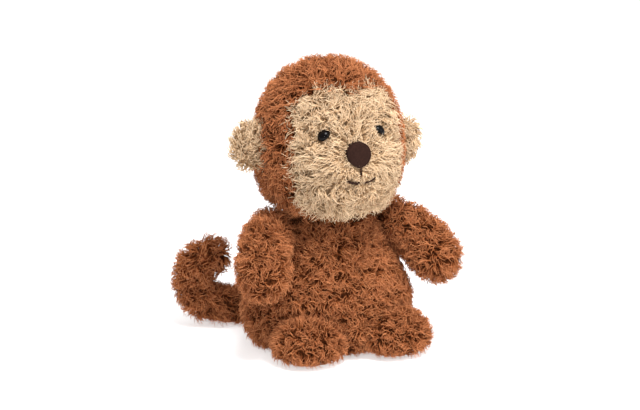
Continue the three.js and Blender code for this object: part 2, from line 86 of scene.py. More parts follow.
class Tree:
    """Adds nodes to a node tree and wires them, one call for each node."""

    def __init__(self, tree):
        self.tree = tree
        self.column = 0

    def add(self, kind, inputs=None, **settings):
        node = self.tree.nodes.new(kind)
        self.column += 1
        node.location = (180 * (self.column % 12), -220 * (self.column // 12))
        for name, value in settings.items():
            setattr(node, name, value)
        for name, value in (inputs or {}).items():
            self.feed(node.inputs[name], value)
        return node

    def feed(self, socket, value):
        if isinstance(value, bpy.types.NodeSocket):
            self.tree.links.new(value, socket)
        else:
            socket.default_value = value

    def math(self, operation, first, second=0.0, third=0.0):
        node = self.add("ShaderNodeMath", operation=operation)
        for socket, value in zip(node.inputs, (first, second, third)):
            self.feed(socket, value)
        return node.outputs[0]

    def vector(self, operation, first, second=None, scale=None):
        node = self.add("ShaderNodeVectorMath", operation=operation)
        self.feed(node.inputs[0], first)
        if second is not None:
            self.feed(node.inputs[1], second)
        if scale is not None:
            self.feed(node.inputs["Scale"], scale)
        if operation in ("DOT_PRODUCT", "LENGTH", "DISTANCE"):
            return node.outputs["Value"]
        return node.outputs["Vector"]

    def total(self, *terms):
        result = terms[0]
        for term in terms[1:]:
            result = self.vector("ADD", result, term)
        return result

    def ramp(self, factor, stops):
        node = self.add("ShaderNodeValToRGB")
        self.feed(node.inputs["Fac"], factor)
        elements = node.color_ramp.elements
        while len(elements) < len(stops):
            elements.new(0.5)
        for element, (place, colour) in zip(elements, stops):
            element.position = place
            element.color = (*colour, 1)
        return node.outputs["Color"]

    def blend_colours(self, factor, first, second, blend_type="MIX"):
        node = self.add("ShaderNodeMix", data_type="RGBA", blend_type=blend_type)
        self.feed(node.inputs[0], factor)
        self.feed(node.inputs[6], first)
        self.feed(node.inputs[7], second)
        return node.outputs[2]

    def relief(self, surface, height, strength, depth):
        bump = self.add(
            "ShaderNodeBump", {"Height": height, "Strength": strength, "Distance": depth}
        )
        self.feed(surface.inputs["Normal"], bump.outputs[0])


def new_group(name, kind, inputs, outputs):
    """An empty node group, and what it is given. Sockets are listed as name: type."""
    group = bpy.data.node_groups.new(name, kind)
    for in_out, sockets in (("INPUT", inputs), ("OUTPUT", outputs)):
        for socket, socket_type in sockets.items():
            group.interface.new_socket(
                socket, in_out=in_out, socket_type="NodeSocket" + socket_type
            )
    t = Tree(group)
    return group, t, t.add("NodeGroupInput").outputs


# ---------------------------------------------------------------------------------------------
# The pile: short wavy strands that lean together in locks
# ---------------------------------------------------------------------------------------------


STRAND_POINTS = 5
STRAND_SIDES = 3
# How strongly a strand leans with its lock, with the drift of the pile, and by itself
LOCK_LEAN = 1.5
DRIFT_LEAN = 1.2
STRAY_LEAN = 0.55
DRIFTS_PER_METRE = 55.0
# The shortest strand, and the spread above it, as shares of the pile's length
SHORTEST = 0.78
LENGTH_SPREAD = 0.55
# How far curls are out of step from lock to lock, and inside one lock, in radians
LOCK_PHASE = 12.0
STRAND_PHASE = 1.8
# Draws a second chance value out of the first
RESHUFFLE = 7.31
TIP_THINNING = 0.8


def pile_tree():
    """Grows pile on a skin that carries its length, its cover and its combing."""
    numbers = ("Strands per m2", "Strand Width", "Lock Size", "Lean", "Gather")
    numbers += ("Curl", "Curl Turns", "Floor")
    group, t, given = new_group(
        "wavy_pile",
        "GeometryNodeTree",
        {
            "Geometry": "Geometry",
            **dict.fromkeys(numbers, "Float"),
            "Seed": "Int",
            "Material": "Material",
        },
        {"Geometry": "Geometry"},
    )

    def stored(geometry, name, value, data_type="FLOAT", domain="POINT"):
        node = t.add("GeometryNodeStoreNamedAttribute", data_type=data_type, domain=domain)
        t.feed(node.inputs["Geometry"], geometry)
        t.feed(node.inputs["Name"], name)
        t.feed(node.inputs["Value"], value)
        return node.outputs["Geometry"]

    def attribute(name, data_type="FLOAT"):
        node = t.add("GeometryNodeInputNamedAttribute", {"Name": name}, data_type=data_type)
        return node.outputs["Attribute"]

    # Roots, scattered over the skin
    density = t.math("MULTIPLY", given["Strands per m2"], attribute("cover"))
    scatter = t.add("GeometryNodeDistributePointsOnFaces", distribute_method="RANDOM")
    t.feed(scatter.inputs["Mesh"], given["Geometry"])
    t.feed(scatter.inputs["Density"], density)
    t.feed(scatter.inputs["Seed"], given["Seed"])
    position = t.add("GeometryNodeInputPosition").outputs[0]
    chance = t.add("FunctionNodeRandomValue", data_type="FLOAT")
    t.feed(chance.inputs["Seed"], given["Seed"])
    stray = t.add("FunctionNodeRandomValue", data_type="FLOAT_VECTOR")
    t.feed(stray.inputs["Min"], (-1.0, -1.0, -1.0))
    t.feed(stray.inputs["Seed"], given["Seed"])
    points = stored(scatter.outputs["Points"], "root", position, "FLOAT_VECTOR")
    points = stored(points, "outward", scatter.outputs["Normal"], "FLOAT_VECTOR")
    points = stored(points, "tone", chance.outputs["Value"])
    points = stored(points, "stray", stray.outputs["Value"], "FLOAT_VECTOR")

    # One straight strand on each root, still to be bent
    line = t.add("GeometryNodeCurvePrimitiveLine")
    line.inputs["End"].default_value = (0, 0, MM)
    strand = t.add(
        "GeometryNodeResampleCurve", {"Curve": line.outputs[0], "Count": STRAND_POINTS}
    ).outputs[0]
    placed = t.add("GeometryNodeInstanceOnPoints", {"Points": points, "Instance": strand})
    strands = t.add("GeometryNodeRealizeInstances", {"Geometry": placed.outputs[0]}).outputs[0]

    # The lock that a strand belongs to: a cell of space, with a lean and a phase of its own
    root = attribute("root", "FLOAT_VECTOR")
    outward = attribute("outward", "FLOAT_VECTOR")
    aside = attribute("stray", "FLOAT_VECTOR")
    tone = attribute("tone")
    length = attribute("pile_length")
    along = t.add("GeometryNodeSplineParameter").outputs["Factor"]
    size = given["Lock Size"]
    cell = t.add("ShaderNodeTexVoronoi")
    per_size = t.math("DIVIDE", 1.0, size)
    t.feed(cell.inputs["Vector"], t.vector("SCALE", root, scale=per_size))
    cell.inputs["Scale"].default_value = 1.0
    centre = t.vector("SCALE", cell.outputs["Position"], scale=size)
    cell_chance = t.vector("SUBTRACT", cell.outputs["Color"], (0.5, 0.5, 0.5))

    def along_skin(direction):
        height = t.vector("DOT_PRODUCT", direction, outward)
        return t.vector("SUBTRACT", direction, t.vector("SCALE", outward, scale=height))

    drift = t.add("ShaderNodeTexNoise")
    t.feed(drift.inputs["Vector"], root)
    drift.inputs["Scale"].default_value = DRIFTS_PER_METRE
    drift.inputs["Detail"].default_value = 1.0
    swirl = t.vector("SUBTRACT", drift.outputs["Color"], (0.5, 0.5, 0.5))
    wanted = t.total(
        t.vector("SCALE", cell_chance, scale=LOCK_LEAN),
        t.vector("SCALE", swirl, scale=DRIFT_LEAN),
        t.vector("SCALE", aside, scale=STRAY_LEAN),
        attribute("combed", "FLOAT_VECTOR"),
    )
    lean = t.vector("NORMALIZE", along_skin(wanted))
    across = t.vector("CROSS_PRODUCT", outward, lean)
    gather = along_skin(t.vector("SUBTRACT", centre, root))

    # The bent strand: up, over, towards the middle of its lock, and round in a loose curl
    evenness = t.math("FRACT", t.math("MULTIPLY", tone, RESHUFFLE))
    share = t.math("MULTIPLY_ADD", evenness, LENGTH_SPREAD, SHORTEST)
    reach = t.math("MULTIPLY", length, share)
    rise = t.math("MULTIPLY", along, t.math("MULTIPLY_ADD", along, -0.3, 1.0))
    fall = t.math("POWER", along, 1.5)
    lock_chance = t.add("ShaderNodeSeparateXYZ", {0: cell.outputs["Color"]}).outputs[0]
    phase = t.math("MULTIPLY", lock_chance, LOCK_PHASE)
    phase = t.math("MULTIPLY_ADD", tone, STRAND_PHASE, phase)
    turns = t.math("MULTIPLY", along, given["Curl Turns"])
    turn = t.math("MULTIPLY_ADD", turns, 2 * math.pi, phase)
    swing = t.math("MULTIPLY", given["Curl"], t.math("SQRT", along))
    centred_sine = t.math("SUBTRACT", t.math("SINE", turn), t.math("SINE", phase))
    centred_cosine = t.math("SUBTRACT", t.math("COSINE", turn), t.math("COSINE", phase))
    overhang = t.math("MULTIPLY", t.math("MULTIPLY", reach, given["Lean"]), fall)
    bent = t.total(
        root,
        t.vector("SCALE", outward, scale=t.math("MULTIPLY", reach, rise)),
        t.vector("SCALE", lean, scale=overhang),
        t.vector("SCALE", gather, scale=t.math("MULTIPLY", given["Gather"], along)),
        t.vector("SCALE", across, scale=t.math("MULTIPLY", swing, centred_sine)),
        t.vector("SCALE", lean, scale=t.math("MULTIPLY", swing, centred_cosine)),
    )
    parts = t.add("ShaderNodeSeparateXYZ", {0: bent}).outputs
    kept_up = t.math("MAXIMUM", parts[2], t.math("MULTIPLY_ADD", tone, MM, given["Floor"]))
    final = t.add("ShaderNodeCombineXYZ", {0: parts[0], 1: parts[1], 2: kept_up})
    moved = t.add("GeometryNodeSetPosition", {"Geometry": strands, "Position": final.outputs[0]})
    strands = stored(moved.outputs[0], "along", along)

    # Thickness, thinning to the tip
    thinning = t.math("MULTIPLY", t.math("POWER", along, 3.0), TIP_THINNING)
    slim = t.math("SUBTRACT", 1.0, thinning)
    radius = t.math("MULTIPLY", t.math("MULTIPLY", given["Strand Width"], 0.5), slim)
    section = t.add(
        "GeometryNodeCurvePrimitiveCircle", {"Resolution": STRAND_SIDES, "Radius": 1.0}
    )
    ring = t.add("GeometryNodeSplineParameter").outputs["Factor"]
    profile = stored(section.outputs["Curve"], "around", ring)
    tubes = t.add(
        "GeometryNodeCurveToMesh",
        {"Curve": strands, "Profile Curve": profile, "Scale": radius, "Fill Caps": True},
    )

    # The map that the colours read: across for the strand's tone, up for the way from root to tip
    u = t.math("MULTIPLY_ADD", attribute("tone"), 0.96, 0.02)
    u = t.math("MULTIPLY_ADD", attribute("around"), 0.003, u)
    uv = t.add("ShaderNodeCombineXYZ", {0: u, 1: attribute("along")})
    mapped = stored(tubes.outputs[0], "OFBake", uv.outputs[0], "FLOAT2", "CORNER")
    smooth = t.add("GeometryNodeSetShadeSmooth", {"Geometry": mapped})
    finished = t.add("GeometryNodeRealizeInstances", {"Geometry": smooth.outputs[0]})
    painted = t.add(
        "GeometryNodeSetMaterial",
        {"Geometry": finished.outputs[0], "Material": given["Material"]},
    )
    t.add("NodeGroupOutput", {"Geometry": painted.outputs[0]})
    return group


PILE_TREE = pile_tree()


def set_input(modifier, name, value):
    for item in modifier.node_group.interface.items_tree:
        if item.item_type == "SOCKET" and item.in_out == "INPUT" and item.name == name:
            modifier[item.identifier] = value


def made_mesh(obj, name):
    """A plain mesh of the object with its modifiers applied."""
    evaluated = obj.evaluated_get(bpy.context.evaluated_depsgraph_get())
    mesh = bpy.data.meshes.new_from_object(evaluated)
    mesh.name = name
    return mesh


def shown(name, mesh):
    obj = bpy.data.objects.new(name, mesh)
    bpy.context.scene.collection.objects.link(obj)
    return obj


def area_of(mesh, weights):
    """The mesh's area with each face counted by its corners' mean weight."""
    return sum(
        f.area * sum(weights[v] for v in f.vertices) / len(f.vertices) for f in mesh.polygons
    )


STRAND_TRIANGLES = 2 * STRAND_SIDES * (STRAND_POINTS - 1) + 2
PIECE_TRIANGLES = 196000
# What the tree keeps on the pile only while it works
PILE_SCRATCH = {
    "root",
    "outward",
    "tone",
    "stray",
    "pile_length",
    "cover",
    "combed",
    "along",
    "around",
    "radius",
}


def grow_pile(name, skin, style, seed, length, cover=None, combed=None, density=0.95):
    """Grows pile on a skin mesh, as dense as this number of strands on a square millimetre, or
    thinner where the piece would pass PIECE_TRIANGLES triangles.

    length, cover and combed are functions of a place and its outward direction.
    """
    mesh = skin.copy()
    verts = mesh.vertices
    cover = cover or (lambda place, outward: 1.0)
    combed = combed or (lambda place, outward: Vector((0, 0, -0.25)))
    covers = [cover(v.co, v.normal) for v in verts]
    mesh.attributes.new("pile_length", "FLOAT", "POINT").data.foreach_set(
        "value", [length(v.co, v.normal) for v in verts]
    )
    mesh.attributes.new("cover", "FLOAT", "POINT").data.foreach_set("value", covers)
    flat = [c for v in verts for c in combed(v.co, v.normal)]
    mesh.attributes.new("combed", "FLOAT_VECTOR", "POINT").data.foreach_set("vector", flat)
    area = area_of(mesh, covers)
    per_area = min(density / MM**2, PIECE_TRIANGLES / STRAND_TRIANGLES / max(area, 1e-9))
    carrier = shown(name + "_carrier", mesh)
    modifier = carrier.modifiers.new("pile", "NODES")
    modifier.node_group = PILE_TREE
    settings = {
        "Strands per m2": per_area,
        "Strand Width": STRAND_WIDTH,
        "Lock Size": 4.0 * MM,
        "Lean": 0.62,
        "Gather": 0.4,
        "Curl": 0.85 * MM,
        "Curl Turns": 1.2,
        "Floor": FLOOR_CLEARANCE,
        "Seed": seed,
        **style,
    }
    for key, value in settings.items():
        set_input(modifier, key, value)
    pile_mesh = made_mesh(carrier, name)
    for attribute in [a.name for a in pile_mesh.attributes if a.name in PILE_SCRATCH]:
        pile_mesh.attributes.remove(pile_mesh.attributes[attribute])
    bpy.data.objects.remove(carrier)
    return shown(name, pile_mesh)


# ---------------------------------------------------------------------------------------------
# Materials
# ---------------------------------------------------------------------------------------------


def new_material(name, settings):
    """A material with one plain surface, and the tree and the surface to work on."""
    material = bpy.data.materials.new(name)
    material.use_nodes = True
    material.node_tree.nodes.clear()
    t = Tree(material.node_tree)
    surface = t.add("ShaderNodeBsdfPrincipled", settings)
    t.add("ShaderNodeOutputMaterial", {"Surface": surface.outputs[0]})
    return material, t, surface


# Where a strand has its body colour, as a share of its length from the root
BODY_AT = 0.45
# Where the palest strands begin, as a share of all the strands
PALEST_FROM = 0.75


def strand_group():
    """The colours of pile: from root to tip, darker at the root as painted shade deep in the pile
    and paler at the tip partly as painted highlight, and from the darkest strand to the palest.
    """
    colours = dict.fromkeys(("Roots", "Body", "Tips", "Palest"), "Color")
    group, t, given = new_group(
        "strand_colours",
        "ShaderNodeTree",
        {"Vector": "Vector", **colours},
        {"Colour": "Color"},
    )
    parts = t.add("ShaderNodeSeparateXYZ", {0: given["Vector"]}).outputs
    to_body = t.math("DIVIDE", parts[1], BODY_AT)
    to_tip = t.math("DIVIDE", t.math("SUBTRACT", parts[1], BODY_AT), 1 - BODY_AT)
    # Painted shade: the root colour darkens each strand towards the skin; the tip colour is partly
    # the pile's own paler tips and partly painted highlight
    along = t.blend_colours(to_body, given["Roots"], given["Body"])
    along = t.blend_colours(to_tip, along, given["Tips"])
    darker = [
        (0.0, (0.62, 0.58, 0.55)),
        (0.35, (0.9, 0.9, 0.9)),
        (PALEST_FROM, (1.1, 1.12, 1.14)),
    ]
    to_palest = t.math("DIVIDE", t.math("SUBTRACT", parts[0], PALEST_FROM), 1 - PALEST_FROM)
    spread = t.blend_colours(to_palest, t.ramp(parts[0], darker), given["Palest"])
    t.add("NodeGroupOutput", {"Colour": t.blend_colours(1.0, along, spread, "MULTIPLY")})
    return group


def knit_group():
    """A fine knitted ground: rows of loops as a height, and worn patches as a mask."""
    group, t, given = new_group(
        "knitted_ground",
        "ShaderNodeTree",
        {"Vector": "Vector", "Rows per metre": "Float"},
        {"Height": "Float", "Patchy": "Float"},
    )
    place = t.vector("SCALE", given["Vector"], scale=given["Rows per metre"])
    parts = t.add("ShaderNodeSeparateXYZ", {0: place}).outputs
    wobble = t.add("ShaderNodeTexNoise", {"Vector": place, "Scale": 0.35})
    level = t.math("ADD", parts[2], t.math("MULTIPLY", wobble.outputs["Fac"], 1.5))
    rows = t.math("SINE", t.math("MULTIPLY", level, 2 * math.pi))
    columns = t.math("MULTIPLY", t.math("ADD", parts[0], parts[1]), 2 * math.pi)
    loops = t.math("MULTIPLY", rows, t.math("SINE", columns))
    patches = t.add("ShaderNodeTexNoise", {"Vector": given["Vector"], "Scale": 90.0, "Detail": 3.0})
    t.add(
        "NodeGroupOutput",
        {"Height": t.math("MULTIPLY_ADD", loops, 0.5, 0.5), "Patchy": patches.outputs["Fac"]},
    )
    return group


def rib_group():
    """Close rows of stitches that run up and down, as a height and as a shade."""
    group, t, given = new_group(
        "satin_ribs",
        "ShaderNodeTree",
        {"Vector": "Vector", "Ribs per metre": "Float"},
        {"Height": "Float", "Shade": "Float"},
    )
    parts = t.add("ShaderNodeSeparateXYZ", {0: given["Vector"]}).outputs
    noise = t.add("ShaderNodeTexNoise", {"Vector": given["Vector"], "Scale": 700.0})
    straight = t.math("MULTIPLY", parts[0], given["Ribs per metre"])
    bent = t.math("MULTIPLY_ADD", noise.outputs["Fac"], 0.5, straight)
    wave = t.math("SINE", t.math("MULTIPLY", bent, 2 * math.pi))
    rib = t.math("MULTIPLY_ADD", wave, 0.5, 0.5)
    shade = t.math("MULTIPLY_ADD", noise.outputs["Fac"], 0.5, t.math("MULTIPLY", rib, 0.5))
    t.add("NodeGroupOutput", {"Height": rib, "Shade": shade})
    return group


STRAND_COLOURS = strand_group()
KNIT = knit_group()
SATIN_RIBS = rib_group()
KNIT_ROWS_PER_METRE = 900.0


def strand_material(name, shaded_roots, body, tips, palest):
    """Pile: darker at the root as painted shade, paler at the tip partly as painted highlight, and
    each strand unlike the next.
    """
    finish = {"Roughness": 0.62, "Specular IOR Level": 0.08}
    sheen = {"Sheen Weight": 0.1, "Sheen Roughness": 0.4, "Sheen Tint": (*tips, 1)}
    material, t, surface = new_material(name, {**finish, **sheen})
    colours = {"Roots": shaded_roots, "Body": body, "Tips": tips, "Palest": palest}
    inputs = {key: (*colour, 1) for key, colour in colours.items()}
    inputs["Vector"] = t.add("ShaderNodeUVMap", uv_map="OFBake").outputs[0]
    mixed = t.add("ShaderNodeGroup", inputs, node_tree=STRAND_COLOURS)
    t.feed(surface.inputs["Base Color"], mixed.outputs["Colour"])
    return material


def ground_material(name, dark, light):
    """The knitted ground that the pile stands in."""
    material, t, surface = new_material(name, {"Roughness": 0.95, "Specular IOR Level": 0.1})
    place = t.add("ShaderNodeTexCoord").outputs["Object"]
    knit = t.add(
        "ShaderNodeGroup",
        {"Vector": place, "Rows per metre": KNIT_ROWS_PER_METRE},
        node_tree=KNIT,
    ).outputs
    t.feed(surface.inputs["Base Color"], t.ramp(knit["Patchy"], [(0.3, dark), (0.7, light)]))
    t.relief(surface, knit["Height"], strength=0.5, depth=0.3 * MM)
    return material


def eye_material():
    """Polished black plastic, with the faint swirl of a moulding."""
    material, t, surface = new_material("polished_black", {"Specular IOR Level": 0.1})
    place = t.add("ShaderNodeTexCoord").outputs["Object"]
    swirl = t.add("ShaderNodeTexNoise", {"Vector": place, "Scale": 400.0}).outputs["Fac"]
    black = t.ramp(swirl, [(0.3, (0.002, 0.0015, 0.0015)), (0.7, (0.004, 0.003, 0.003))])
    t.feed(surface.inputs["Base Color"], black)
    t.feed(surface.inputs["Roughness"], t.math("MULTIPLY_ADD", swirl, 0.04, 0.07))
    return material


def stitched_material(name, dark, light, ribs_per_metre):
    """Sewn thread, laid in close rows."""
    material, t, surface = new_material(name, {"Roughness": 0.9, "Specular IOR Level": 0.06})
    place = t.add("ShaderNodeTexCoord").outputs["Object"]
    ribs = t.add(
        "ShaderNodeGroup",
        {"Vector": place, "Ribs per metre": ribs_per_metre},
        node_tree=SATIN_RIBS,
    ).outputs
    t.feed(surface.inputs["Base Color"], t.ramp(ribs["Shade"], [(0.2, dark), (0.8, light)]))
    t.relief(surface, ribs["Height"], strength=0.6, depth=0.12 * MM)
    return material


BROWN_GROUND = ground_material("brown_ground", (0.10, 0.030, 0.010), (0.16, 0.048, 0.017))
CREAM_GROUND = ground_material("cream_ground", (0.40, 0.26, 0.15), (0.52, 0.36, 0.22))
# The root colours are painted shade deep in the pile; the tip colours are partly painted highlight
BROWN_STRANDS = strand_material(
    "brown_pile_strands",
    shaded_roots=(0.075, 0.019, 0.005),
    body=(0.262, 0.077, 0.023),
    tips=(0.56, 0.215, 0.09),
    palest=(1.3, 1.35, 1.35),
)
CREAM_STRANDS = strand_material(
    "cream_pile_strands",
    shaded_roots=(0.42, 0.25, 0.12),
    body=(0.61, 0.41, 0.235),
    tips=(0.80, 0.60, 0.40),
    palest=(1.15, 1.15, 1.15),
)
EYE_BLACK = eye_material()
NOSE_CLOTH = stitched_material(
    "nose_satin_stitch",
    dark=(0.012, 0.005, 0.0035),
    light=(0.030, 0.013, 0.0095),
    ribs_per_metre=1500.0,
)
THREAD = stitched_material(
    "dark_thread",
    dark=(0.014, 0.006, 0.004),
    light=(0.045, 0.022, 0.015),
    ribs_per_metre=4200.0,
)

# ---------------------------------------------------------------------------------------------
# Skins: the stuffed forms that the pile grows on
# ---------------------------------------------------------------------------------------------


def joined(nodes):
    """One bmesh of copies of these CAD nodes, with their loose triangles merged."""
    mesh = bmesh.new()
    for node in nodes:
        mesh.from_mesh(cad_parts[node].data)
    bmesh.ops.remove_doubles(mesh, verts=mesh.verts, dist=0.01 * MM)
    return mesh


def wrapped(nodes):
    """The tight wrap round these nodes, with the seats of the limbs filled in."""
    points = joined(nodes)
    mesh = bmesh.new()
    for vert in points.verts:
        mesh.verts.new(vert.co)
    points.free()
    result = bmesh.ops.convex_hull(mesh, input=mesh.verts)
    inside = [*result["geom_interior"], *result["geom_unused"]]
    spare = {element for element in inside if isinstance(element, bmesh.types.BMVert)}
    bmesh.ops.delete(mesh, geom=list(spare), context="VERTS")
    bmesh.ops.recalc_face_normals(mesh, faces=mesh.faces)
    return mesh


def to_object(name, mesh):
    data = bpy.data.meshes.new(name)
    mesh.to_mesh(data)
    mesh.free()
    return shown(name, data)


def largest_part(data):
    """Leaves only the outermost closed part of a mesh."""
    mesh = bmesh.new()
    mesh.from_mesh(data)
    left = set(mesh.verts)
    parts = []
    while left:
        part = set()
        front = [left.pop()]
        while front:
            vert = front.pop()
            part.add(vert)
            for edge in vert.link_edges:
                other = edge.other_vert(vert)
                if other in left:
                    left.discard(other)
                    front.append(other)
        parts.append(part)
    parts.sort(key=len)
    spare = [vert for part in parts[:-1] for vert in part]
    bmesh.ops.delete(mesh, geom=spare, context="VERTS")
    mesh.to_mesh(data)
    mesh.free()


def with_modifier(obj, kind, **settings):
    modifier = obj.modifiers.new(kind.lower(), kind)
    for name, value in settings.items():
        setattr(modifier, name, value)
    mesh = made_mesh(obj, obj.data.name)
    obj.modifiers.clear()
    old = obj.data
    obj.data = mesh
    bpy.data.meshes.remove(old)
    return obj


# The cover as it is filled: a light stretchy cloth over a slight pressure
FILLING_PRESSURE = 4
CLOTH_STRETCH = 12
CLOTH_BENDING = 0.6
FILLING_STEPS = 20
# Smoothing of the steps that the remeshing leaves
SMOOTHING = 0.5
SMOOTHING_PASSES = 6
LOWEST_SKIN = 0.8 * MM


def inflated(obj, most):
    """Fills the form like a stuffed cover, moving no point further than most."""
    rest = [v.co.copy() for v in obj.data.vertices]
    modifier = obj.modifiers.new("stuffed", "CLOTH")
    cloth = modifier.settings
    cloth.use_pressure = True
    cloth.uniform_pressure_force = FILLING_PRESSURE
    cloth.quality = 5
    cloth.tension_stiffness = CLOTH_STRETCH
    cloth.compression_stiffness = CLOTH_STRETCH
    cloth.bending_stiffness = CLOTH_BENDING
    cloth.effector_weights.gravity = 0
    modifier.collision_settings.use_collision = False
    scene = bpy.context.scene
    modifier.point_cache.frame_start = 1
    modifier.point_cache.frame_end = FILLING_STEPS
    for step in range(1, FILLING_STEPS + 1):
        scene.frame_set(step)
    mesh = made_mesh(obj, obj.data.name)
    obj.modifiers.clear()
    scene.frame_set(1)
    for vert, start in zip(mesh.vertices, rest):
        move = vert.co - start
        if move.length > most:
            vert.co = start + move.normalized() * most
    obj.data = mesh
    return obj


def drawn_in(obj, depth):
    """Moves the surface in from half pile height to the backing, and keeps it off the floor."""
    normals = [v.normal.copy() for v in obj.data.vertices]
    for vert, normal in zip(obj.data.vertices, normals):
        vert.co -= normal * depth
        vert.co.z = max(vert.co.z, LOWEST_SKIN)
    return obj


def stuffed_skin(name, nodes, voxel, wrap, most, depth=BACKING_DEPTH):
    """The backing cloth of a stuffed part, bulging no further than most past its CAD shape."""
    mesh = wrapped(nodes) if wrap else joined(nodes)
    obj = to_object(name, mesh)
    with_modifier(obj, "REMESH", mode="VOXEL", voxel_size=voxel)
    largest_part(obj.data)
    with_modifier(obj, "SMOOTH", factor=SMOOTHING, iterations=SMOOTHING_PASSES)
    inflated(obj, most)
    drawn_in(obj, depth)
    with_modifier(obj, "SUBSURF", levels=1, render_levels=1)
    obj.data.shade_smooth()
    return obj


def split_sheet(data, name, keep):
    """The faces of a mesh whose middles keep() accepts."""
    mesh = bmesh.new()
    mesh.from_mesh(data)
    spare = [face for face in mesh.faces if not keep(face.calc_center_median())]
    bmesh.ops.delete(mesh, geom=spare, context="FACES")
    part = bpy.data.meshes.new(name)
    mesh.to_mesh(part)
    mesh.free()
    return part


def cut_panel(skin, name, keep):
    """The part of a skin that keep() accepts, as a sheet to grow pile on and as a cloth panel."""
    sheet = split_sheet(skin.data, name + "_sheet", keep)
    panel = shown(name, sheet.copy())
    with_modifier(panel, "SOLIDIFY", thickness=PANEL_THICKNESS, offset=-1)
    panel.data.shade_smooth()
    return sheet, panel


def finish_piece(obj, body, material=None, stands_for=()):
    if material:
        obj.data.materials.clear()
        obj.data.materials.append(material)
    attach(obj, body)
    if stands_for:
        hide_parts(*stands_for)
    return obj


def smoothstep(low, high, value):
    x = min(1.0, max(0.0, (value - low) / (high - low)))
    return x * x * (3 - 2 * x)


def flattened_below(place, outward):
    """The pile is pressed short where the toy stands on the floor."""
    near_floor = 1.0 - smoothstep(4 * MM, 14 * MM, place.z)
    return 1.0 - 0.65 * smoothstep(0.3, 0.9, -outward.z) * near_floor


def brown_length(place, outward):
    return 0.87 * PILE_LENGTH * flattened_below(place, outward)


def limb_length(place, outward):
    return 0.8 * PILE_LENGTH * flattened_below(place, outward)


LIMB_BOXES = [
    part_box(f"{side}_{limb}_cover") for side in ("left", "right") for limb in ("arm", "leg")
]


def apart_from(place, box):
    """How far a place is from a box."""
    low, high = box
    return Vector([max(low[i] - place[i], place[i] - high[i], 0) for i in range(3)]).length


def torso_length(place, outward):
    """As the other brown pile, but pressed short where the arms and the feet lie against it."""
    near = min(apart_from(place, box) for box in LIMB_BOXES)
    return brown_length(place, outward) * (0.62 + 0.38 * smoothstep(0, 10 * MM, near))


def hood_length(place, outward):
    """A little longer over the crown than down the sides."""
    return PILE_LENGTH * (0.88 + 0.2 * smoothstep(0.1, 0.8, outward.z))


def thin_below(place, outward):
    """Little of the pile under the seat shows, so less is grown there."""
    return 1.0 - 0.7 * smoothstep(0.6, 0.95, -outward.z)


BROWN = {"Material": BROWN_STRANDS}
FOOT = {"Material": BROWN_STRANDS, "Lock Size": 3.4 * MM, "Lean": 0.5}
CREAM = {"Material": CREAM_STRANDS, "Lock Size": 3.6 * MM}

# ---------------------------------------------------------------------------------------------
# Torso
# ---------------------------------------------------------------------------------------------

torso_nodes = ["torso_front_panel", "torso_back_panel", "torso_base_panel"]
torso = stuffed_skin("torso_skin", torso_nodes, 4 * MM, wrap=True, most=2.5 * MM)
torso_sheet = torso.data.copy()
finish_piece(
    torso,
    "torso",
    BROWN_GROUND,
    stands_for=[*torso_nodes, "torso_stuffing", "pellet_pouch"],
)
torso_quarters = {
    "front": lambda p: p.y < -abs(p.x),
    "back": lambda p: p.y >= abs(p.x),
    "left": lambda p: p.x > abs(p.y) or (p.x > 0 and p.y == -p.x),
    "right": lambda p: p.x < -abs(p.y) or (p.x < 0 and p.y == p.x),
}


def torso_cover(place, outward):
    """Little of the pile under the seat and under the head shows."""
    high_up = smoothstep(cad_high.z * 0.43, cad_high.z * 0.47, place.z)
    under_head = high_up * smoothstep(0.5, 0.9, outward.z)
    return thin_below(place, outward) * (1.0 - 0.8 * under_head)


for number, (side, keep) in enumerate(torso_quarters.items()):
    quarter = split_sheet(torso_sheet, f"torso_{side}_quarter", keep)
    pile = grow_pile(f"torso_{side}_pile", quarter, BROWN, 11 + number, torso_length, torso_cover)
    finish_piece(pile, "torso")

finish_piece(
    stuffed_skin("neck_filling", ["neck_wad"], 2 * MM, wrap=True, most=0.5 * MM),
    "neck",
    BROWN_GROUND,
    stands_for=["neck_wad"],
)

# ---------------------------------------------------------------------------------------------
# Head
# ---------------------------------------------------------------------------------------------

head_nodes = ["face_panel", "left_hood_panel", "right_hood_panel"]
head = stuffed_skin("head_form", head_nodes, 4 * MM, wrap=True, most=1.5 * MM)
head_middle = (cad_high.z + Vector(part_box("face_panel")[0]).z) / 2
FACE_CORNER = 9 * MM


def before_seam(place):
    """True in front of the seam, which reaches further back at the upper corners of the face."""
    turn = math.atan2(place.z - head_middle, abs(place.x))
    corner = math.sin(2 * turn) ** 2 if turn > 0 else 0
    return place.y < FACE_SEAM_Y + FACE_CORNER * corner


face_sheet, face = cut_panel(head, "face_skin", before_seam)
head_seam = {
    "left": lambda p: not before_seam(p) and p.x >= 0,
    "right": lambda p: not before_seam(p) and p.x < 0,
}
head_skin = BVHTree.FromPolygons(
    [v.co for v in head.data.vertices], [f.vertices for f in head.data.polygons]
)
nose_centre = middle("nose")
eye_centres = [middle("left_eye"), middle("right_eye")]
mouth_low, mouth_high = (Vector(corner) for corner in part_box("left_mouth_stitch"))
mouth_corner_x = mouth_high.x
mouth_z = mouth_low.z


def face_length(place, outward):
    """Shorter pile round the eyes, nose and mouth, so that they show."""
    flat = Vector((place.x, 0, place.z))
    near_nose = smoothstep(7 * MM, 15 * MM, (flat - Vector((0, 0, nose_centre.z))).length)
    mouth_place = Vector((max(-mouth_corner_x, min(mouth_corner_x, place.x)), 0, mouth_z + 2 * MM))
    near_mouth = smoothstep(2 * MM, 12 * MM, (flat - mouth_place).length)
    near_eye = min(smoothstep(3.5 * MM, 12 * MM, (place - eye).length) for eye in eye_centres)
    clear = min(0.36 + 0.64 * near_nose, 0.4 + 0.6 * near_mouth, 0.35 + 0.65 * near_eye)
    return 0.9 * PILE_LENGTH * clear


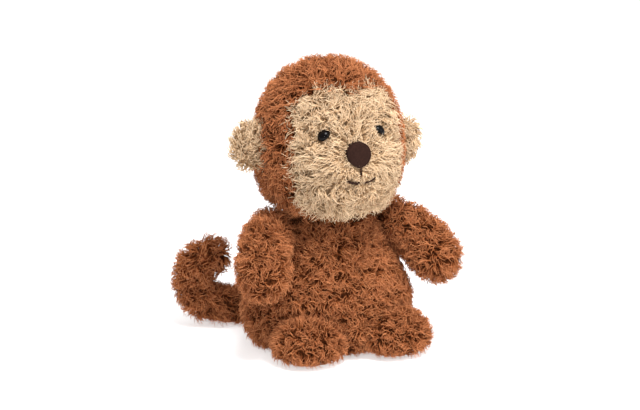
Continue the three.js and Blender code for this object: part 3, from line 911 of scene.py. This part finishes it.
def face_comb(place, outward):
    """Away from the nose, and down a little."""
    away = place - nose_centre
    away.y = 0
    near = 1.0 - smoothstep(12 * MM, 34 * MM, away.length)
    away.normalize()
    for eye in eye_centres:
        gap = place - eye
        push = 1.0 - smoothstep(4 * MM, 11 * MM, gap.length)
        away = away.lerp(gap.normalized(), push)
        near = max(near, push)
    return away * 1.3 * near + Vector((0, 0, -0.15))


def head_cover(place, outward):
    """Little of the pile under the head shows."""
    return 1.0 - 0.75 * smoothstep(0.75, 0.95, -outward.z)


face_pile = grow_pile(
    "face_pile", face_sheet, CREAM, 31, face_length, head_cover, face_comb, density=1.05
)
finish_piece(face_pile, "head")
finish_piece(
    face,
    "head",
    CREAM_GROUND,
    stands_for=["face_panel", "head_stuffing"],
)
for number, (side, keep) in enumerate(head_seam.items()):
    sheet, panel = cut_panel(head, f"{side}_hood_skin", keep)
    pile = grow_pile(f"{side}_hood_pile", sheet, BROWN, 41 + number, hood_length, head_cover)
    finish_piece(pile, "head")
    finish_piece(
        panel, "head", BROWN_GROUND, stands_for=[f"{side}_hood_panel"]
    )
bpy.data.objects.remove(head)

# ---------------------------------------------------------------------------------------------
# Eyes, nose and mouth
# ---------------------------------------------------------------------------------------------


def lathe(name, profile, steps, centre, axis):
    """A closed solid turned from (radius, height) points, standing on centre along axis."""
    mesh = bmesh.new()
    rings = []
    for radius, height in profile:
        if radius == 0:
            rings.append([mesh.verts.new((0, 0, height))] * steps)
            continue
        ring = []
        for i in range(steps):
            a = 2 * math.pi * i / steps
            ring.append(mesh.verts.new((radius * math.cos(a), radius * math.sin(a), height)))
        rings.append(ring)
    for low, high in zip(rings, rings[1:]):
        for i in range(steps):
            corners = [low[i], low[(i + 1) % steps], high[(i + 1) % steps], high[i]]
            unique = list(dict.fromkeys(corners))
            mesh.faces.new(unique)
    bmesh.ops.recalc_face_normals(mesh, faces=mesh.faces)
    turn = Vector((0, 0, 1)).rotation_difference(axis).to_matrix().to_4x4()
    bmesh.ops.transform(mesh, matrix=Matrix.Translation(centre) @ turn, verts=mesh.verts)
    obj = to_object(name, mesh)
    obj.data.shade_smooth()
    return obj


EYE_RADIUS = 4.5 * MM
EYE_DOME = 4.0 * MM
EYE_RIM = 0.5 * MM
SHANK_RADIUS = 1.5 * MM
SHANK_LENGTH = 5 * MM
EYE_SIDES = 40
RIM_STEPS = 4
DOME_STEPS = 14


def make_eye(side):
    """A domed button with a rounded rim, on a shank that reaches its washer."""
    node = f"{side}_eye"
    verts = [v.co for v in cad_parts[node].data.vertices]
    washer = middle(f"{side}_eye_washer")
    axis = (middle(node) - washer).normalized()
    top = max((v - washer).dot(axis) for v in verts)
    seat = washer + axis * (top - EYE_DOME)
    flat_radius = EYE_RADIUS - EYE_RIM
    profile = [(0, -SHANK_LENGTH), (SHANK_RADIUS, -SHANK_LENGTH), (SHANK_RADIUS, 0)]
    profile.append((flat_radius, 0))
    for i in range(RIM_STEPS):
        a = math.pi / 2 * i / RIM_STEPS
        profile.append((flat_radius + EYE_RIM * math.sin(a), EYE_RIM - EYE_RIM * math.cos(a)))
    for i in range(DOME_STEPS):
        a = math.pi / 2 * i / DOME_STEPS
        height = EYE_RIM + (EYE_DOME - EYE_RIM) * math.sin(a)
        profile.append((EYE_RADIUS * math.cos(a), height))
    profile.append((0, EYE_DOME))
    eye = lathe(f"{side}_eye_dome", profile, EYE_SIDES, seat, axis)
    stands_for = [node, f"{side}_eye_washer"]
    return finish_piece(eye, "head", EYE_BLACK, stands_for=stands_for)


for eye_side in ("left", "right"):
    make_eye(eye_side)


def on_face(x, z, stand):
    """The point of the face over (x, z), a stated height out from the skin."""
    hit, normal, _, _ = head_skin.ray_cast(Vector((x, -1, z)), Vector((0, 1, 0)))
    return hit + normal * stand


NOSE_SIDES = 72
# How wide each layer of the nose is, and how far it stands out from the skin in millimetres
NOSE_LAYERS = (
    (0.97, 0.1),
    (1.0, 0.8),
    (1.0, 2.2),
    (0.985, 2.75),
    (0.94, 3.1),
    (0.8, 3.35),
    (0.55, 3.55),
    (0.28, 3.65),
)
# The lowest of the padding follows the skin; the rest lies halfway between it and a flat back
FOLLOWS_SKIN_UP_TO = 1
NOSE_BACK = 2.4 * MM
NOSE_POINT = 0.9 * MM
NOSE_POINT_SHARPNESS = 6


def make_nose():
    """A padded oval sewn flat on the muzzle, a little pointed below, where the thread starts."""
    low, high = (Vector(corner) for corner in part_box("nose"))
    half_width = (high.x - low.x) / 2
    half_height = (high.z - low.z) / 2
    flat = nose_centre.y + NOSE_BACK
    mesh = bmesh.new()
    rings = []
    for share, stand in NOSE_LAYERS:
        ring = []
        for i in range(NOSE_SIDES):
            a = 2 * math.pi * i / NOSE_SIDES
            x = half_width * share * math.cos(a)
            z = nose_centre.z + half_height * share * math.sin(a)
            z -= NOSE_POINT * share * max(0.0, -math.sin(a)) ** NOSE_POINT_SHARPNESS
            y = on_face(x, z, 0).y
            if stand > FOLLOWS_SKIN_UP_TO:
                y = (flat + y) / 2
            ring.append(mesh.verts.new((nose_centre.x + x, y - stand * MM, z)))
        rings.append(ring)
    for inner, outer in zip(rings, rings[1:]):
        for i in range(NOSE_SIDES):
            after = (i + 1) % NOSE_SIDES
            mesh.faces.new([inner[i], inner[after], outer[after], outer[i]])
    mesh.faces.new(rings[-1])
    mesh.faces.new(list(reversed(rings[0])))
    bmesh.ops.recalc_face_normals(mesh, faces=mesh.faces)
    obj = to_object("nose_pad", mesh)
    obj.data.shade_smooth()
    finish_piece(obj, "head", NOSE_CLOTH, stands_for=["nose"])


make_nose()


def curve_point(points, place):
    """The point of a smooth curve through these points, where place counts along them."""
    index = min(int(place), len(points) - 2)
    a = points[max(index - 1, 0)]
    b, c = points[index], points[index + 1]
    d = points[min(index + 2, len(points) - 1)]
    f = place - index
    square = (2 * a - 5 * b + 4 * c - d) * f * f
    cube = (3 * b - a - 3 * c + d) * f**3
    return 0.5 * (2 * b + (c - a) * f + square + cube)


THREAD_STEPS = 36
PLY_SIDES = 8
# How far each ply is from the middle of the thread and how thick it is, as shares of the radius
PLY_OFFSET = 0.45
PLY_RADIUS = 0.62
PLY_TWIST = 0.55


def sewn_thread(name, points, radius, node):
    """A two-ply thread that follows these points, with its ends sunk in the cloth."""
    last = len(points) - 1
    centre_line = [
        curve_point(points, i / THREAD_STEPS * last) for i in range(THREAD_STEPS + 1)
    ]
    mesh = bmesh.new()
    for ply in range(2):
        previous = None
        for i, centre in enumerate(centre_line):
            ahead = centre_line[min(i + 1, THREAD_STEPS)] - centre_line[max(i - 1, 0)]
            ahead.normalize()
            side = ahead.cross(Vector((0, -1, 0))).normalized()
            up = side.cross(ahead)
            twist = math.pi * ply + i * PLY_TWIST
            offset = (side * math.cos(twist) + up * math.sin(twist)) * radius * PLY_OFFSET
            ring = []
            for k in range(PLY_SIDES):
                a = 2 * math.pi * k / PLY_SIDES
                out = (side * math.cos(a) + up * math.sin(a)) * radius * PLY_RADIUS
                ring.append(mesh.verts.new(centre + offset + out))
            if previous:
                for k in range(PLY_SIDES):
                    after = (k + 1) % PLY_SIDES
                    mesh.faces.new([previous[k], previous[after], ring[after], ring[k]])
            else:
                mesh.faces.new(ring)
            previous = ring
        mesh.faces.new(list(reversed(previous)))
    bmesh.ops.recalc_face_normals(mesh, faces=mesh.faces)
    obj = to_object(name, mesh)
    obj.data.shade_smooth()
    return finish_piece(obj, "head", THREAD, stands_for=[node])


THREAD_STAND = 2.7 * MM
THREAD_RADIUS = 0.62 * MM
nose_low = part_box("nose")[0][2]
philtrum_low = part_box("philtrum_stitch")[0][2] + 2.2 * MM
philtrum_heights = (nose_low + 1 * MM, (nose_low + philtrum_low) / 2)
philtrum = [on_face(0, z, THREAD_STAND) for z in philtrum_heights]
philtrum.append(on_face(0.2 * MM, philtrum_low, THREAD_STAND - 0.3 * MM))
philtrum.append(on_face(0.3 * MM, philtrum_low - 1.5 * MM, THREAD_STAND - 1.6 * MM))
sewn_thread("philtrum_thread", philtrum, THREAD_RADIUS, "philtrum_stitch")
# The right half of the mouth is drawn in shorter and thicker than the left
LEFT_MOUTH_WIDTH, RIGHT_MOUTH_WIDTH = 1.15, 0.84
RIGHT_MOUTH_THICKNESS = 1.5
for side, node in ((1, "left_mouth_stitch"), (-1, "right_mouth_stitch")):
    low, high = (Vector(corner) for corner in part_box(node))
    corner_x = max(abs(low.x), abs(high.x))
    rise = high.z - low.z
    width = corner_x * (LEFT_MOUTH_WIDTH if side > 0 else RIGHT_MOUTH_WIDTH)
    smile = [
        on_face(side * width * 0.08, low.z + 0.3 * MM, THREAD_STAND - 2.4 * MM),
        on_face(side * width * 0.22, low.z + 0.4 * MM, THREAD_STAND - 0.3 * MM),
        on_face(side * width * 0.5, low.z + 0.7 * MM, THREAD_STAND),
        on_face(side * width * 0.8, low.z + rise * 0.38, THREAD_STAND),
        on_face(side * width, low.z + rise * 0.52, THREAD_STAND - 0.7 * MM),
        on_face(side * width * 1.08, low.z + rise * 0.55, THREAD_STAND - 2.8 * MM),
    ]
    thickness = THREAD_RADIUS * (1 if side > 0 else RIGHT_MOUTH_THICKNESS)
    sewn_thread(node.replace("stitch", "thread"), smile, thickness, node)

# ---------------------------------------------------------------------------------------------
# Ears, arms, legs and tail
# ---------------------------------------------------------------------------------------------


def furred(part, nodes, slot, ground, seed, skin, fill=0.8, **pile):
    """A stuffed part that rides on the body of its own name: its backing cloth and its pile."""
    obj = stuffed_skin(f"{part}_skin", nodes, **skin)
    sheet = obj.data.copy()
    finish_piece(obj, part, ground, stands_for=nodes)
    grown = grow_pile(f"{part}_pile", sheet, seed=seed, **pile)
    finish_piece(grown, part)


def filling(name, node, body, voxel, most):
    """The wad of stuffing that a joint turns on."""
    wad = stuffed_skin(name, [node], voxel, wrap=True, most=most)
    finish_piece(wad, body, BROWN_GROUND, stands_for=[node])


LIMB_SKIN = {"voxel": 2.5 * MM, "wrap": False, "most": 1.5 * MM}
EAR_SKIN = {"voxel": 2 * MM, "wrap": True, "most": 1 * MM, "depth": 0.6 * MM}
TAIL_SKIN = {"voxel": 2.5 * MM, "wrap": False, "most": 1 * MM, "depth": 1.2 * MM}
# The pile of the left ear is brushed down, that of the right ear up
EAR_COMB = {"left": Vector((0, 0, -0.7)), "right": Vector((0, 0, 0.9))}


def ear_length(place, outward):
    return 0.72 * PILE_LENGTH


def make_ear(side, seed):
    furred(
        f"{side}_ear",
        [f"{side}_ear_front_panel", f"{side}_ear_back_panel"],
        "cream_pile",
        CREAM_GROUND,
        seed,
        EAR_SKIN,
        fill=0.5,
        style=CREAM,
        length=ear_length,
        combed=lambda place, outward: EAR_COMB[side],
        density=1.3,
    )


def make_arm(side, seed):
    furred(
        f"{side}_arm",
        [f"{side}_arm_cover", f"{side}_arm_stuffing"],
        "brown_pile",
        BROWN_GROUND,
        seed,
        LIMB_SKIN,
        style=BROWN,
        length=brown_length,
        density=1.1,
    )
    filling(
        f"{side}_shoulder_filling",
        f"{side}_shoulder_wad",
        f"{side}_shoulder",
        1.5 * MM,
        most=0.3 * MM,
    )


def make_leg(side, seed):
    furred(
        f"{side}_leg",
        [f"{side}_leg_cover", f"{side}_leg_stuffing"],
        "brown_pile",
        BROWN_GROUND,
        seed,
        LIMB_SKIN,
        style=FOOT,
        length=limb_length,
        cover=thin_below,
        density=1.4,
    )


def make_tail(seed):
    furred(
        "tail",
        ["tail_cover", "tail_stuffing"],
        "brown_pile",
        BROWN_GROUND,
        seed,
        TAIL_SKIN,
        style=BROWN,
        length=brown_length,
    )
    filling("tail_filling", "tail_wad", "tail_root", 1.5 * MM, most=0.3 * MM)


for number, side in enumerate(("left", "right")):
    make_ear(side, 51 + number)
    make_arm(side, 61 + number)
    make_leg(side, 71 + number)
make_tail(81)

# ---------------------------------------------------------------------------------------------
# Floor, light and camera
# ---------------------------------------------------------------------------------------------

# Where the camera is, in degrees and metres, and its lens and sensor in millimetres
CAMERA_AZIMUTH = -22
CAMERA_ELEVATION = 15
CAMERA_DISTANCE = 3.0
CAMERA_LENS = 271.7
CAMERA_SENSOR = 36
# What the camera and the lights look at, from the middle of the toy
AIM_OFFSET = Vector((-3.52, -6.54, -0.64)) * MM
FLOOR_HALF_SIZE = 4
FLOOR_GLOW = 0.55
# How much light the white surroundings give, next to how bright they look
WORLD_LIGHT = 0.54

aim = (cad_low + cad_high) / 2 + AIM_OFFSET


def direction(azimuth, elevation):
    """The way from the toy to something at these angles, in degrees."""
    a, e = math.radians(azimuth), math.radians(elevation)
    return Vector((math.sin(a) * math.cos(e), -math.cos(a) * math.cos(e), math.sin(e)))


def stand_off(obj, azimuth, elevation, distance):
    """Puts a light or a camera this far from the toy and points it there."""
    away = direction(azimuth, elevation)
    obj.location = aim + away * distance
    obj.rotation_euler = away.to_track_quat("Z", "Y").to_euler()
    bpy.context.scene.collection.objects.link(obj)


def soft_light(name, azimuth, elevation, distance, size, watts):
    data = bpy.data.lights.new(name, "AREA")
    data.shape = "DISK"
    data.size = size
    data.energy = watts
    stand_off(bpy.data.objects.new(name, data), azimuth, elevation, distance)


floor_mesh = bmesh.new()
bmesh.ops.create_grid(floor_mesh, x_segments=1, y_segments=1, size=FLOOR_HALF_SIZE)
floor = to_object("floor", floor_mesh)
floor_settings = {
    "Base Color": (0.95, 0.95, 0.95, 1),
    "Roughness": 0.9,
    "Emission Color": (1, 1, 1, 1),
    "Emission Strength": FLOOR_GLOW,
}
floor.data.materials.append(new_material("pale_floor", floor_settings)[0])
floor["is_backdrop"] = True

world = bpy.data.worlds.new("studio")
world.use_nodes = True
studio = Tree(world.node_tree)
seen = studio.add("ShaderNodeLightPath").outputs["Is Camera Ray"]
background = world.node_tree.nodes["Background"].inputs
background["Color"].default_value = (1, 1, 1, 1)
brightness = studio.math("MULTIPLY_ADD", seen, 1 - WORLD_LIGHT, WORLD_LIGHT)
studio.feed(background["Strength"], brightness)
bpy.context.scene.view_settings.view_transform = "Standard"
bpy.context.scene.world = world

soft_light("key", azimuth=-4, elevation=66, distance=0.9, size=0.45, watts=12)
soft_light("fill", azimuth=45, elevation=22, distance=1.0, size=0.7, watts=4.2)
soft_light("catch", azimuth=-32, elevation=24, distance=1.0, size=0.06, watts=1.0)

camera_data = bpy.data.cameras.new("camera")
camera_data.sensor_width = CAMERA_SENSOR
camera_data.lens = CAMERA_LENS
camera_data.clip_end = 50
camera = bpy.data.objects.new("camera", camera_data)
stand_off(camera, CAMERA_AZIMUTH, CAMERA_ELEVATION, CAMERA_DISTANCE)
bpy.context.scene.camera = camera

low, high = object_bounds()
